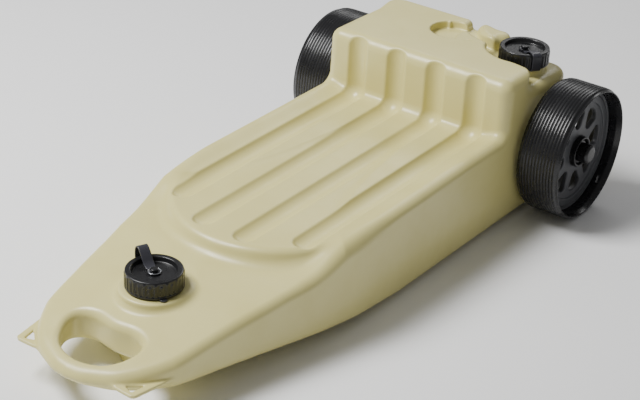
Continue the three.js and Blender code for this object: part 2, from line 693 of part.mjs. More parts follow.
function axle() {
  const end = AXLE_END_X;
  return solidOf(turned([[0, -end], [AXLE_RADIUS - 1, -end], [AXLE_RADIUS, -end + 1],
    [AXLE_RADIUS, end - 1], [AXLE_RADIUS - 1, end], [0, end]], 24));
}

// ---- assembly ----------------------------------------------------------------

const tote = new THREE.Group();

function place(name, solid, finish, parent = tote) {
  const mesh = new THREE.Mesh(geometryOf(solid), new THREE.MeshStandardMaterial(finish));
  mesh.name = name;
  parent.add(mesh);
  return mesh;
}

function addCap(label, neck, route, heading, nubHeading) {
  const group = new THREE.Group();
  group.position.set(neck.x, neck.y, neck.shoulder);
  tote.add(group);
  place(`${label}_cap`, cap(), BLACK, group);
  place(`${label}_cap_seal`, seal(), SEAL_RUBBER, group);
  place(`${label}_tether_stud`, stud(), BLACK, group);
  place(`${label}_cap_tether`, tether(route, heading, nubHeading), BLACK, group);
}

function addWheel(side) {
  const group = new THREE.Group();
  group.position.set(0, AXLE_Y, AXLE_Z);
  group.rotation.y = side === 'right' ? Math.PI / 2 : -Math.PI / 2;
  tote.add(group);
  place(`wheel_hub_${side}`, hub(), DARK_GREY, group);
  place(`wheel_tyre_${side}`, tyre(), TYRE_BLACK, group);
  place(`wheel_bush_${side}`, bush(), NYLON, group);
  place(`wheel_spacer_${side}`, sleeve(SPACER), NYLON, group);
  place(`axle_washer_${side}`, sleeve(WASHER), BLACK, group);
  place(`axle_end_cap_${side}`, axleCap(), BLACK, group);
}

place('tank', tank(), TAN);
const rod = place('axle', axle(), STEEL);
rod.position.set(0, AXLE_Y, AXLE_Z);
rod.rotation.y = Math.PI / 2;
addCap('front', FRONT_NECK, FRONT_ROUTE, 156, -35);
addCap('rear', REAR_NECK, REAR_ROUTE, -20, 150);
addWheel('left');
addWheel('right');

export default tote;
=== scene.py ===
"""Portable waste tote: the visual model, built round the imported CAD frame.

Moulded pieces are written as signed distance fields in millimetres and skinned
at an even spacing; turned pieces are profiles swept round their axis.
"""
import json
import math

import bpy
import numpy as np
from mathutils import Matrix, Vector


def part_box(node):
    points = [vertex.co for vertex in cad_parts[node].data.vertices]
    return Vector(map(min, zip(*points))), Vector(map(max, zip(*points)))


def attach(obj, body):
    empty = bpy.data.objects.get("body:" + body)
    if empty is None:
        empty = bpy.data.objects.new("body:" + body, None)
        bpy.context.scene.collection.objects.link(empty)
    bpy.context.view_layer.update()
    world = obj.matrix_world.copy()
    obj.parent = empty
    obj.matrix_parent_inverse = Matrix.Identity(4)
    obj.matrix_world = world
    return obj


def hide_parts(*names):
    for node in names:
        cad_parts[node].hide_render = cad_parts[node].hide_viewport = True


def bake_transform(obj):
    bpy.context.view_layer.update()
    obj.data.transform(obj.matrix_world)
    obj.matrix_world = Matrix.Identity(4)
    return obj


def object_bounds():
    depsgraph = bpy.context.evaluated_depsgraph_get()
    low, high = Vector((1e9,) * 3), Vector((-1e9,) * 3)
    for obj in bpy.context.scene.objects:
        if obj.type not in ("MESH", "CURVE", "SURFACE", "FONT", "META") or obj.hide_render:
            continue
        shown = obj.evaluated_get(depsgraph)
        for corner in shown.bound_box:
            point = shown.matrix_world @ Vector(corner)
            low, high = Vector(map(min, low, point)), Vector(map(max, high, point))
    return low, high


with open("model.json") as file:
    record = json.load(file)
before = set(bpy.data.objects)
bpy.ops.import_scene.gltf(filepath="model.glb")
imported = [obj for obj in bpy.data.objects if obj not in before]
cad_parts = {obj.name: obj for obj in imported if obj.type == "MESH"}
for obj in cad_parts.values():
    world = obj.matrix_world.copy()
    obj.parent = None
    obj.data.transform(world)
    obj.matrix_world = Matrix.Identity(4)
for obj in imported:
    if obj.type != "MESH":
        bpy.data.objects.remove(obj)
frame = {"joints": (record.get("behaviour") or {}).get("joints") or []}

MM = 0.001
CAD_BOX = [list(corner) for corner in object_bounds()]
JOINTS = {joint["name"]: joint for joint in frame["joints"]}


def joint_mm(name):
    return [value / MM for value in JOINTS[name]["pos_m"]]


# ---- sizes, in millimetres ---------------------------------------------------

AXLE_Y, AXLE_Z = joint_mm("right_wheel_spin")[1:]
NOSE_Y = CAD_BOX[0][1] / MM
DECK_Z = 134.5                   # at the foot of the block; the deck falls towards the nose
DECK_FALL = 0.024
NOSE_LIFT = 0.075                # the underside rises by this much per millimetre to the tip
NOSE_Z = 104
NOSE_FALL_FROM = -225
NOSE_SLOPE, NOSE_BEND = 0.105, 0.00035
NOSE_CROWN, NOSE_CROWN_X = 6.5, 130
NOSE_END_RISE, NOSE_END_FROM, NOSE_END_RUN, NOSE_END_X = 16, -270, 110, 150
BLOCK_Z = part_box("tank")[1].z / MM
BLOCK_FRONT = 251
BLOCK_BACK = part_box("tank")[1].y / MM
HALF_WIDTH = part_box("tank")[1].x / MM
PARTING_Z = 50
SIDE_ROUND = 18
NOSE_ROUND = 11.5
BACK_ROUND = 7
BLOCK_ROUND = 17
UNDER_ROUND = 12
BACK_CORNER = 30
SIDE_DRAFT = 0.03
TILT_RADIUS = 95                 # the tail stays inside this when tipped on the wheels
RISER_FILLET = 15
GRIP_ROUND = 10
TANK_VOXEL = 1.9
TRIM_VOXEL = 0.55
HUB_VOXEL = 1.0

EDGE_POINTS = [
    (0, NOSE_Y), (20, -468.5), (38, -462), (62, -450.5), (80, -434), (93, -417.5), (104, -399),
    (111.5, -380), (123, -320), (135, -260), (147.5, -200), (155, -160), (160, -120),
    (HALF_WIDTH, -80), (HALF_WIDTH, 60),
]
LIP_CENTRE = (0, -64)
LIP_RADIUS = 154
LIP_FOOT_Z = 106
LIP_END_TURN = math.atan2(-49, 146)
LIP_SLOPE = 0.48
LIP_ROUND, LIP_FILLET = 6, 9
LIP_END_FILLET = 24              # added to the fillet towards the lip's ends

GROOVES = [(34, -193), (102.5, -157)]
GROOVE_RADIUS = 20
GROOVE_DEPTH = 8.5
GROOVE_EDGE = 1.6
GROOVE_HALF_WIDTH = 16.4
GROOVE_TOP_Z = 234

GRIP_POINTS = [(0, -447), (28, -441), (44, -429), (54, -411), (55, -396), (47, -386), (30, -381.5),
               (0, -385)]
LUG_POINTS = [(44, -438), (50, -451.5), (92, -453.5), (97, -450), (107, -388), (80, -396)]
LUG_EYE_POINTS = [(74.5, -442.5), (87.5, -447), (91.5, -427.5)]

FRONT_NECK = (*joint_mm("front_cap_unscrew")[:2], 97)
REAR_NECK = (*joint_mm("rear_cap_unscrew")[:2], 210.4)
NECK_RADIUS, NECK_BORE, NECK_TOP = 28.5, 24.5, 12.7
BOSS_RADIUS, REAR_BOSS_RADIUS = 45.5, 34
LANDING_RADIUS = 46
LANDING_SLOPE = 0.3
LUG_HALF_THICKNESS = 2.2
FOOT_X, FOOT_Y, FOOT_HALF_X, FOOT_HALF_Y, FOOT_HEIGHT = 45, -330, 16, 12, 34
FOOT_DRAFT = 0.12
SEAT_RADIUS = 6.4
TROUGH_HALF_TOP, TROUGH_FROM, TROUGH_TOP = 6, 95, 97
TROUGH_SLOPE, TROUGH_LEAN = 0.28, 0.963

POCKET_POINTS = [(230, 292), (180, 296), (156, 319), (122, 328), (96, 328), (72, 337), (57, 351),
                 (50, 368), (52, 392), (62, 414), (66, 480), (230, 480)]
VALLEY_POINTS = [(-10, 480), (-10, 418), (-4, 398), (8, 382), (28, 372), (60, 366), (60, 384),
                 (36, 388), (20, 396), (10, 407), (4, 420), (4, 480)]
POCKET_FLOOR, TRAY_FLOOR = 200, 214.5
VALLEY_FLOOR, VALLEY_DROP = 213, 7
TRAY_RIB_TURN = math.radians(129)
TRAY_CENTRE, TRAY_RADIUS, TRAY_RIB_RADIUS = (-16, 373), 33, 2.6
TRAY_STEP_CENTRE, TRAY_STEP_RADIUS = (44.4, 368), 44.9
SLOT_ENDS = (21.3, 349.4, BLOCK_Z), (26.3, 356.4, BLOCK_Z)
SLOT_RADIUS = 1.3


# ---- field tools ---------------------------------------------------------------

def convex(a, b, radius):
    """The overlap of two fields, with its edge rounded."""
    u = np.maximum(a + radius, 0)
    v = np.maximum(b + radius, 0)
    return np.minimum(np.maximum(a, b), -radius) + np.hypot(u, v)


def fillet(a, b, radius):
    """Two fields joined, with a fillet between them."""
    u = np.maximum(radius - a, 0)
    v = np.maximum(radius - b, 0)
    return np.maximum(np.minimum(a, b), radius) - np.hypot(u, v)


def cut(a, b, radius):
    """Field a without field b, with the rim rounded."""
    return convex(a, -b, radius)


def smooth(value, low, high):
    t = np.clip((value - low) / (high - low), 0, 1)
    return t * t * (3 - 2 * t)


def spline(points, steps=8, closed=False):
    """Points along a Catmull-Rom curve through the given points."""
    given = np.array(points, float)
    if closed:
        padded = np.vstack([given[-1], given, given[:2]])
    else:
        padded = np.vstack([2 * given[0] - given[1], given, 2 * given[-1] - given[-2]])
    out = []
    for i in range(len(padded) - 3):
        a, b, c, d = padded[i:i + 4]
        for t in np.arange(steps) / steps:
            out.append(0.5 * (2 * b + (c - a) * t + (2 * a - 5 * b + 4 * c - d) * t ** 2
                              + (3 * b - a - 3 * c + d) * t ** 3))
    if not closed:
        out.append(given[-1])
    return np.array(out)


def plan_distance(points, x, y):
    """Signed distance to a closed outline, negative inside."""
    x, y = np.broadcast_arrays(x, y)
    best = np.full(x.shape, 1e9, np.float32)
    inside = np.zeros(x.shape, bool)
    ends = np.roll(points, -1, axis=0)
    for (ax, ay), (bx, by) in zip(points, ends):
        ex, ey = bx - ax, by - ay
        wx, wy = x - ax, y - ay
        t = np.clip((wx * ex + wy * ey) / max(ex * ex + ey * ey, 1e-9), 0, 1)
        best = np.minimum(best, (wx - ex * t) ** 2 + (wy - ey * t) ** 2)
        crosses = (ay > y) != (by > y)
        inside ^= crosses & (ex * wy * np.sign(ey) < wx * ey * np.sign(ey))
    return np.where(inside, -1, 1) * np.sqrt(best)


def plan_map(points, pitch=1.0, margin=40):
    """plan_distance for one outline, looked up in an even table of values."""
    low = points.min(0) - margin
    size = np.ceil((points.max(0) + margin - low) / pitch).astype(int) + 1
    xs, ys = [low[i] + pitch * np.arange(size[i]) for i in range(2)]
    table = plan_distance(points, xs[:, None], ys[None, :])

    def read(x, y):
        u = np.clip((x - low[0]) / pitch, 0, size[0] - 1.001)
        v = np.clip((y - low[1]) / pitch, 0, size[1] - 1.001)
        i, j = u.astype(int), v.astype(int)
        u, v = u - i, v - j
        near = table[i, j] * (1 - u) + table[i + 1, j] * u
        far = table[i, j + 1] * (1 - u) + table[i + 1, j + 1] * u
        return near * (1 - v) + far * v
    return read


def capsule(x, y, z, start, end, radius):
    (ax, ay, az), (bx, by, bz) = start, end
    ex, ey, ez = bx - ax, by - ay, bz - az
    length2 = ex * ex + ey * ey + ez * ez
    t = np.clip(((x - ax) * ex + (y - ay) * ey + (z - az) * ez) / length2, 0, 1)
    return np.sqrt((x - ax - ex * t) ** 2 + (y - ay - ey * t) ** 2 + (z - az - ez * t) ** 2) - radius


def upright(x, y, centre, radius):
    return np.hypot(x - centre[0], y - centre[1]) - radius


CORNERS = np.array([(i, j, k) for i in (0, 1) for j in (0, 1) for k in (0, 1)])
CELL_EDGES = [(a, b) for a in range(8) for b in range(a + 1, 8)
              if np.abs(CORNERS[a] - CORNERS[b]).sum() == 1]


def skin(field, low, high, voxel, rounds=3):
    """An even quad skin on the field's zero surface: surface nets, then moved onto it."""
    axes = [np.arange(a, b + voxel, voxel, dtype=np.float32) for a, b in zip(low, high)]
    grid = np.meshgrid(*axes, indexing="ij", sparse=True)
    values = np.ascontiguousarray(np.broadcast_to(field(*grid), [len(a) for a in axes]))
    inside = values < 0
    count = sum(inside[i:inside.shape[0] - 1 + i, j:inside.shape[1] - 1 + j,
                       k:inside.shape[2] - 1 + k].astype(np.int8) for i, j, k in CORNERS)
    cells = np.argwhere((count > 0) & (count < 8))
    corner_values = np.stack([values[tuple((cells + c).T)] for c in CORNERS], 1)
    total = np.zeros((len(cells), 3))
    hits = np.zeros((len(cells), 1))
    for a, b in CELL_EDGES:
        va, vb = corner_values[:, a], corner_values[:, b]
        crossing = ((va < 0) != (vb < 0))[:, None]
        t = (va / np.where(va == vb, 1, va - vb))[:, None]
        total += np.where(crossing, CORNERS[a] + t * (CORNERS[b] - CORNERS[a]), 0)
        hits += crossing
    points = (cells + total / hits) * voxel + np.array(low)
    number = np.full(count.shape, -1, np.int32)
    number[tuple(cells.T)] = np.arange(len(cells))
    quads = []
    for axis in range(3):
        ahead = np.take(inside, range(1, inside.shape[axis]), axis)
        here = np.take(inside, range(inside.shape[axis] - 1), axis)
        spots = np.argwhere(ahead != here)
        u, v = (axis + 1) % 3, (axis + 2) % 3
        step_u, step_v = np.eye(3, dtype=int)[u], np.eye(3, dtype=int)[v]
        ring = [number[tuple((spots - s).T)] for s in (step_u + step_v, step_v, 0 * step_u, step_u)]
        quad = np.stack(ring, 1)
        leaving = here[tuple(spots.T)]
        quad[~leaving] = quad[~leaving][:, ::-1]
        quads.append(quad)
    quads = np.vstack(quads)
    for turn in range(rounds):
        if turn:
            points = relaxed(points, quads)
        points = on_surface(field, points, voxel)
    return points, quads


def on_surface(field, points, voxel, reach=0.2):
    """Points moved down the field's slope on to its zero surface."""
    value = field(*points.T)
    slope = np.stack([(field(*(points + s).T) - value) / reach for s in np.eye(3) * reach], 1)
    move = np.clip(value / np.maximum((slope ** 2).sum(1), 0.2), -0.7 * voxel, 0.7 * voxel)
    return points - slope * move[:, None]


def relaxed(points, quads):
    """Each point drawn half way to the middle of its neighbours."""
    total = np.zeros_like(points)
    hits = np.zeros((len(points), 1))
    for i in range(4):
        for j in (1, 3):
            np.add.at(total, quads[:, i], points[quads[:, (i + j) % 4]])
            np.add.at(hits, quads[:, i], 1)
    return 0.5 * points + 0.5 * total / np.maximum(hits, 1)


def mesh_object(name, points, groups, material):
    """A Blender object from points in millimetres and groups of faces, each of one size."""
    mesh = bpy.data.meshes.new(name)
    mesh.vertices.add(len(points))
    mesh.vertices.foreach_set("co", (np.asarray(points, np.float32) * MM).ravel())
    groups = [np.asarray(group, np.int32) for group in groups if len(group)]
    sizes = np.concatenate([np.full(len(group), group.shape[1]) for group in groups])
    starts = np.concatenate([[0], np.cumsum(sizes)[:-1]]).astype(np.int32)
    corners = np.concatenate([group.ravel() for group in groups])
    mesh.loops.add(len(corners))
    mesh.loops.foreach_set("vertex_index", corners)
    mesh.polygons.add(len(sizes))
    mesh.polygons.foreach_set("loop_start", starts)
    mesh.polygons.foreach_set("use_smooth", np.ones(len(sizes), bool))
    mesh.update(calc_edges=True)
    mesh.validate()
    mesh.materials.append(material)
    piece = bpy.data.objects.new(name, mesh)
    bpy.context.scene.collection.objects.link(piece)
    return piece


def fit(piece, body, slot, *nodes):
    """The piece rides on a CAD body and stands for CAD nodes, which are hidden; slot is not used."""
    if nodes:
        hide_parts(*nodes)
    if body:
        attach(piece, body)
    return piece


def softened(corners, closed=True, steps=4):
    """The outline through (radius, height, corner radius) points, its corners rounded."""
    out = []
    last = len(corners) - 1
    for i, (radius, height, turn) in enumerate(corners):
        here = np.array((radius, height), float)
        if turn == 0 or (not closed and i in (0, last)):
            out.append(here)
            continue
        arms = []
        for neighbour in (corners[i - 1], corners[(i + 1) % (last + 1)]):
            arm = np.array(neighbour[:2]) - here
            arms.append(here + arm * min(turn / np.hypot(*arm), 0.48))
        for t in np.linspace(0, 1, steps + 1):
            out.append((1 - t) ** 2 * arms[0] + 2 * t * (1 - t) * here + t ** 2 * arms[1])
    return np.array(out)


def divided(profile, spacing, closed=True):
    """The same outline with no step longer than the spacing."""
    ends = np.roll(profile, -1, axis=0) if closed else profile[1:]
    out = []
    for a, b in zip(profile, ends):
        parts = max(1, math.ceil(np.hypot(*(b - a)) / spacing))
        out.extend(a + (b - a) * k / parts for k in range(parts))
    if not closed:
        out.append(profile[-1])
    return np.array(out)


def swept(profile, count, bend=None):
    """A (radius, height) profile swept round +Z; an open one starts and ends on the axis."""
    closed = profile[0][0] > 1e-6
    turns = np.arange(count) * 2 * math.pi / count
    body = profile if closed else profile[1:-1]
    radius = np.broadcast_to(body[:, 0], (count, len(body)))
    height = np.broadcast_to(body[:, 1], (count, len(body)))
    theta = turns[:, None]
    if bend:
        radius = radius + bend(theta, radius, height)
    points = np.stack([radius * np.cos(theta), radius * np.sin(theta), height], -1).reshape(-1, 3)
    width = len(body)
    i = np.arange(count)[:, None] * width
    k = ((np.arange(count) + 1) % count)[:, None] * width
    j = np.arange(width if closed else width - 1)[None, :]
    after = (j + 1) % width
    quads = np.stack([i + j, k + j, k + after, i + after], -1).reshape(-1, 4)
    if closed:
        return points, [quads]
    first, last = len(points), len(points) + 1
    points = np.vstack([points, [0, 0, profile[0][1]], [0, 0, profile[-1][1]]])
    i, k = i[:, 0], k[:, 0]
    low = np.stack([i, np.full(count, first), k], 1)
    high = np.stack([i + width - 1, k + width - 1, np.full(count, last)], 1)
    return points, [quads, low, high]


def flipped(groups):
    return [np.asarray(group)[:, ::-1] for group in groups]


# ---- tank ------------------------------------------------------------------------

def tank_outline():
    right = spline(EDGE_POINTS, 6)
    corner = [(HALF_WIDTH - BACK_CORNER + BACK_CORNER * math.cos(t),
               BLOCK_BACK - BACK_CORNER + BACK_CORNER * math.sin(t))
              for t in np.linspace(0, math.pi / 2, 9)]
    right = np.vstack([right, corner])
    left = right[::-1] * (-1, 1)
    return np.vstack([right, left[:-1]])


def mirrored(points):
    left = [(-x, y) for x, y in reversed(points) if x > 0]
    return list(points) + left


outline_distance = plan_map(tank_outline(), margin=12)
grip_distance = plan_map(spline(mirrored(GRIP_POINTS), 6, closed=True))
pocket_distance = plan_map(spline(POCKET_POINTS, 4, closed=True))
valley_distance = plan_map(spline(VALLEY_POINTS, 4, closed=True))
lug_distance = plan_map(np.array(LUG_POINTS, float), 0.5, 20)
lug_eye_distance = plan_map(np.array(LUG_EYE_POINTS, float), 0.5, 20)


def deck_top(y):
    return DECK_Z - DECK_FALL * (BLOCK_FRONT - y)


def nose_top(x, y):
    """Height of the crowned, sloping nose; it climbs to the deck beside the lip's ends."""
    run = np.maximum(0, NOSE_FALL_FROM - y)
    height = NOSE_Z - NOSE_SLOPE * run - NOSE_BEND * run ** 2
    height = height - NOSE_CROWN * (x / NOSE_CROWN_X) ** 2
    climb = np.maximum(0, y - NOSE_END_FROM) / NOSE_END_RUN * x / NOSE_END_X
    height = np.minimum(height + NOSE_END_RISE * climb ** 2, deck_top(y) - 1)
    around = np.hypot(x, y - FRONT_NECK[1])
    landing = FRONT_NECK[2] - 0.5 + LANDING_SLOPE * np.maximum(around - LANDING_RADIUS, 0)
    return np.minimum(height, landing)


def inside_lip(x, y):
    """How far a point lies behind the arc across the tank where the deck steps down."""
    turn = np.arctan2(y - LIP_CENTRE[1], np.abs(x))
    along = np.abs(x) * math.cos(LIP_END_TURN) + (y - LIP_CENTRE[1]) * math.sin(LIP_END_TURN)
    reach = np.where(turn > LIP_END_TURN, along, np.hypot(x, y - LIP_CENTRE[1]))
    return LIP_RADIUS - reach


def grooves(x, y, z):
    axis_z = DECK_Z - GROOVE_DEPTH + GROOVE_RADIUS
    axis_y = BLOCK_FRONT + GROOVE_DEPTH - GROOVE_RADIUS
    field = None
    for centre, tip in GROOVES:
        start = (centre, tip + GROOVE_HALF_WIDTH, axis_z)
        corner = (centre, axis_y, axis_z)
        top = (centre, axis_y, GROOVE_TOP_Z - GROOVE_HALF_WIDTH)
        side = np.abs(x)
        level = z - deck_top(y) + DECK_Z
        both = np.minimum(capsule(side, y, level, start, corner, GROOVE_RADIUS),
                          capsule(side, y, z, corner, top, GROOVE_RADIUS))
        field = both if field is None else np.minimum(field, both)
    return field


def top_profile(x, y, z):
    """Everything on the tank's top, before its outer edge is rounded off."""
    face = (LIP_SLOPE * (z - LIP_FOOT_Z) - inside_lip(x, y)) / math.hypot(1, LIP_SLOPE)
    deck = convex(z - deck_top(y), face, LIP_ROUND)
    blend = LIP_FILLET + LIP_END_FILLET * smooth(np.abs(x), 118, 154)
    low = fillet((z - nose_top(x, y)) * 0.98, deck, blend)
    block = convex(z - BLOCK_Z, BLOCK_FRONT - y, BLOCK_ROUND)
    top = cut(fillet(low, block, RISER_FILLET), grooves(x, y, z), GROOVE_EDGE)
    pocket = convex(pocket_distance(x, y), POCKET_FLOOR - z, 9)
    top = cut(top, pocket, 5 + 9 * smooth(y, 378, 402))
    valley_floor = VALLEY_FLOOR - VALLEY_DROP * smooth(x, 2, 50)
    top = cut(top, convex(valley_distance(x, y), valley_floor - z, 4), 4 + 6 * smooth(y, 384, 404))
    slot = capsule(x, y, z, *SLOT_ENDS, SLOT_RADIUS)
    top = cut(top, slot, 0.4)
    rib = upright(x, y, (TRAY_CENTRE[0] + TRAY_RADIUS * math.cos(TRAY_RIB_TURN),
                         TRAY_CENTRE[1] + TRAY_RADIUS * math.sin(TRAY_RIB_TURN)), TRAY_RIB_RADIUS)
    tray = np.maximum(upright(x, y, TRAY_CENTRE, TRAY_RADIUS),
                      -upright(x, y, TRAY_STEP_CENTRE, TRAY_STEP_RADIUS))
    tray = convex(np.maximum(tray, -rib), TRAY_FLOOR - z, 2.5)
    return cut(top, tray, 2.2)


def neck(x, y, z, place, boss_radius, boss_edge):
    """The boss under a neck, and the boss with its tube."""
    centre, shoulder = place[:2], place[2]
    boss = convex(upright(x, y, centre, boss_radius), z - shoulder, boss_edge)
    tube = convex(upright(x, y, centre, NECK_RADIUS), z - shoulder - NECK_TOP, 1)
    return boss, np.minimum(boss, np.maximum(tube, shoulder - 20 - z))


def tank_body(x, y, z):
    """The top inside the outline, over the lifted underside."""
    side = outline_distance(x, y) + SIDE_DRAFT * np.abs(z - PARTING_Z)
    edge = SIDE_ROUND - (SIDE_ROUND - NOSE_ROUND) * smooth(-y, 120, 230)
    edge = edge - (SIDE_ROUND - BACK_ROUND - 7 * smooth(x, 12, 34)) * smooth(y, 370, 415)
    body = convex(side, top_profile(x, y, z), edge)
    lift = NOSE_LIFT * np.maximum(0, -y)
    under = np.hypot(np.maximum(y - AXLE_Y, 0), np.maximum(AXLE_Z + lift - z, 0)) - TILT_RADIUS
    return convex(body, under, UNDER_ROUND)


def axle_trough(y, z):
    """A V-shaped trough across the underside with the axle's round seat at its top."""
    sides = np.abs(y - AXLE_Y) - TROUGH_HALF_TOP - TROUGH_SLOPE * (TROUGH_FROM - z)
    trough = np.maximum(sides * TROUGH_LEAN, z - TROUGH_TOP)
    return np.minimum(trough, np.hypot(y - AXLE_Y, z - AXLE_Z) - SEAT_RADIUS)


def feet(x, y, z):
    foot = np.maximum(np.abs(np.abs(x) - FOOT_X) - FOOT_HALF_X, np.abs(y - FOOT_Y) - FOOT_HALF_Y)
    return convex(foot - FOOT_DRAFT * z, np.abs(z - FOOT_HEIGHT / 2) - FOOT_HEIGHT / 2, 2.5)


def lugs(x, y, z):
    plan = cut(lug_distance(np.abs(x), y), lug_eye_distance(np.abs(x), y), 0.5)
    return convex(plan, np.abs(z - PARTING_Z) - LUG_HALF_THICKNESS, 1.2)


def tank_field(x, y, z):
    body = cut(tank_body(x, y, z), axle_trough(y, z), 4)
    body = fillet(body, feet(x, y, z), 5)
    body = fillet(body, lugs(x, y, z), 2.5)
    body = cut(body, grip_distance(x, y), GRIP_ROUND)
    boss, stack = neck(x, y, z, FRONT_NECK, BOSS_RADIUS, 3)
    body = np.minimum(fillet(body, np.maximum(boss, 60 - z), 8), stack)
    boss, stack = neck(x, y, z, REAR_NECK, REAR_BOSS_RADIUS, 1.5)
    body = np.minimum(fillet(body, np.maximum(boss, 190 - z), 3), stack)
    for place, floor in ((FRONT_NECK, 40), (REAR_NECK, 150)):
        well = convex(upright(x, y, place[:2], NECK_BORE), floor - z, 10)
        body = cut(body, well, 0.8)
    return body


def build_tank(material):
    low = (-HALF_WIDTH - 4, NOSE_Y - 4, -3)
    high = (HALF_WIDTH + 4, BLOCK_BACK + 4, BLOCK_Z + 5)
    points, quads = skin(tank_field, low, high, TANK_VOXEL)
    fit(mesh_object("tank_shell", points, [quads], material), "tank_body", "tank_plastic", "tank")
    for label, place in (("front", FRONT_NECK), ("rear", REAR_NECK)):
        points, groups = thread(NECK_RADIUS - 0.6, NECK_RADIUS + THREAD_DEPTH, 0)
        ridge = mesh_object(f"{label}_neck_thread", points + place, groups, material)
        fit(ridge, "tank_body", "tank_plastic")


# ---- caps, seals and tethers: heights run from each neck's shoulder --------------

CAP_RIBS = 32
CAP_SKIRT = 36.5
THREAD_PITCH = 6
THREAD_START = 4.3
THREAD_TURNS = 1.05
THREAD_DEPTH = 1.7
CAP_BORE = 31.2
CAP_PROFILE = [
    (37.5, 2.2, 0.5), (37.5, 4.3, 0.8), (CAP_SKIRT, 5.4, 0.6), (CAP_SKIRT, 24.6, 1.9),
    (29.2, 24.6, 1.3), (27.3, 18.3, 1.2), (3.4, 18.3, 0.3), (3.4, 15.3, 0.3), (29.4, 15.3, 1),
    (CAP_BORE, 13.8, 0.8), (CAP_BORE, 2.2, 0.5),
]
STUD_PROFILE = [
    (0, 13, 0), (6, 13, 0.4), (6, 15, 0.4), (3.2, 15, 0.2), (3.2, 21, 0.2), (5.2, 21, 0.5),
    (5.2, 24, 0.8), (4.4, 24.8, 0.7), (0, 24.8, 0),
]
EYELET_RIM = [(7.2, 20, 0.4), (8.6, 20, 0.4), (8.6, 21.3, 0.6), (7.2, 21.3, 0.6)]
SEAL_PROFILE = [(22, 13, 0.4), (30.6, 13, 0.4), (30.6, 15, 0.4), (22, 15, 0.4)]
STRAP_HALF_WIDTH, STRAP_HALF_THICKNESS = 7, 0.9
NUB_REACH, NUB_RADIUS = 37.5, 4.8
FRONT_ROUTE = [
    (7, 19.4), (12, 20), (18, 23.6), (24.5, 30.2), (31, 35.6), (36.6, 37.4), (41.8, 34), (44, 26),
    (43.4, 15), (42.6, 6.5), (40.6, 2.2), (37, 1), (33, 1),
]
REAR_ROUTE = [
    (7, 19.4), (13, 19.6), (19, 22.4), (25, 26), (31, 26.75), (36.5, 26.4), (39.9, 23.5),
    (40.5, 16), (40.4, 8), (40.2, 4.2), (38.9, 1.7), (36.5, 1), (33, 1),
]


def cap_ribs(theta, radius, height):
    """Upright grip ribs round the skirt, every second one reaching nearly to the rim."""
    place = theta * CAP_RIBS / (2 * math.pi)
    index = np.rint(place)
    across = np.clip(1.9 - 5.2 * np.abs(place - index), 0, 1)
    top = np.where(index % 2 == 0, 22.6, 19.6)
    upright_part = smooth(height, 4.6, 5.6) * smooth(top - height, 0, 1.1)
    return 0.85 * across * upright_part * (radius > CAP_SKIRT - 0.4)


def thread(root, crest, heading):
    """One ridge that climbs round an upright axis at the thread's pitch, with pinched ends."""
    steps = 120
    rings = []
    for t in np.linspace(0, 1, steps + 1):
        turn = heading + 2 * math.pi * THREAD_TURNS * t
        grow = min(1, 14 * min(t, 1 - t) + 0.02)
        height = THREAD_START + THREAD_PITCH * THREAD_TURNS * t
        tip = root + (crest - root) * grow
        shape = [(root, -1.5), (tip, -0.5), (tip, 0.5), (root, 1.5)]
        rings.append([(r * math.cos(turn), r * math.sin(turn), height + z) for r, z in shape])
    side = 1 if crest > root else -1
    quads = []
    for i in range(steps):
        for j in range(4):
            quads.append((4 * i + j, 4 * i + 4 + j, 4 * i + 4 + (j + 1) % 4, 4 * i + (j + 1) % 4))
    quads.append((0, 1, 2, 3))
    quads.append((4 * steps + 3, 4 * steps + 2, 4 * steps + 1, 4 * steps))
    groups = [np.array(quads)]
    return np.array(rings).reshape(-1, 3), groups if side > 0 else flipped(groups)


def line_distance(points, u, v):
    """Distance to an open line of points in a plane."""
    best = None
    for (ax, ay), (bx, by) in zip(points[:-1], points[1:]):
        ex, ey = bx - ax, by - ay
        t = np.clip(((u - ax) * ex + (v - ay) * ey) / (ex * ex + ey * ey), 0, 1)
        reach = np.hypot(u - ax - ex * t, v - ay - ey * t)
        best = reach if best is None else np.minimum(best, reach)
    return best


def flat_ring(radius, z, across, upward, edge):
    """A flat ring; across and upward are each (middle, half size)."""
    return convex(np.abs(radius - across[0]) - across[1], np.abs(z - upward[0]) - upward[1], edge)


def tether_field(route, heading, nub_heading):
    """A strap from the eyelet on the stud, over the rim, down to the ring round the neck."""
    line = spline(route, 4)
    ahead = (math.cos(heading), math.sin(heading))
    nub = (NUB_REACH * math.cos(nub_heading), NUB_REACH * math.sin(nub_heading))

    def field(x, y, z):
        u = x * ahead[0] + y * ahead[1]
        v = y * ahead[0] - x * ahead[1]
        radius = np.hypot(x, y)
        half_width = STRAP_HALF_WIDTH - 1.7 * (1 - smooth(u, 6, 16)) * (z > 17)
        strap = convex(line_distance(line, u, z) - STRAP_HALF_THICKNESS, np.abs(v) - half_width, 0.5)
        strap = np.maximum(strap, 4 - radius)
        eyelet = flat_ring(radius, z, (6, 2.3), (19.4, 0.8), 0.5)
        bead = np.hypot(radius - 7.4, z - 19.9) - 0.75
        ring = flat_ring(radius, z, (32.6, 1.9), (1, 0.7), 0.4)
        knob = np.hypot(x - nub[0], y - nub[1]) - NUB_RADIUS
        knob = convex(knob, np.abs(z - 1.4) - 1.3, 0.7)
        solid = fillet(strap, np.minimum(eyelet, bead), 0.4)
        return fillet(fillet(solid, ring, 0.6), knob, 0.6)
    return field


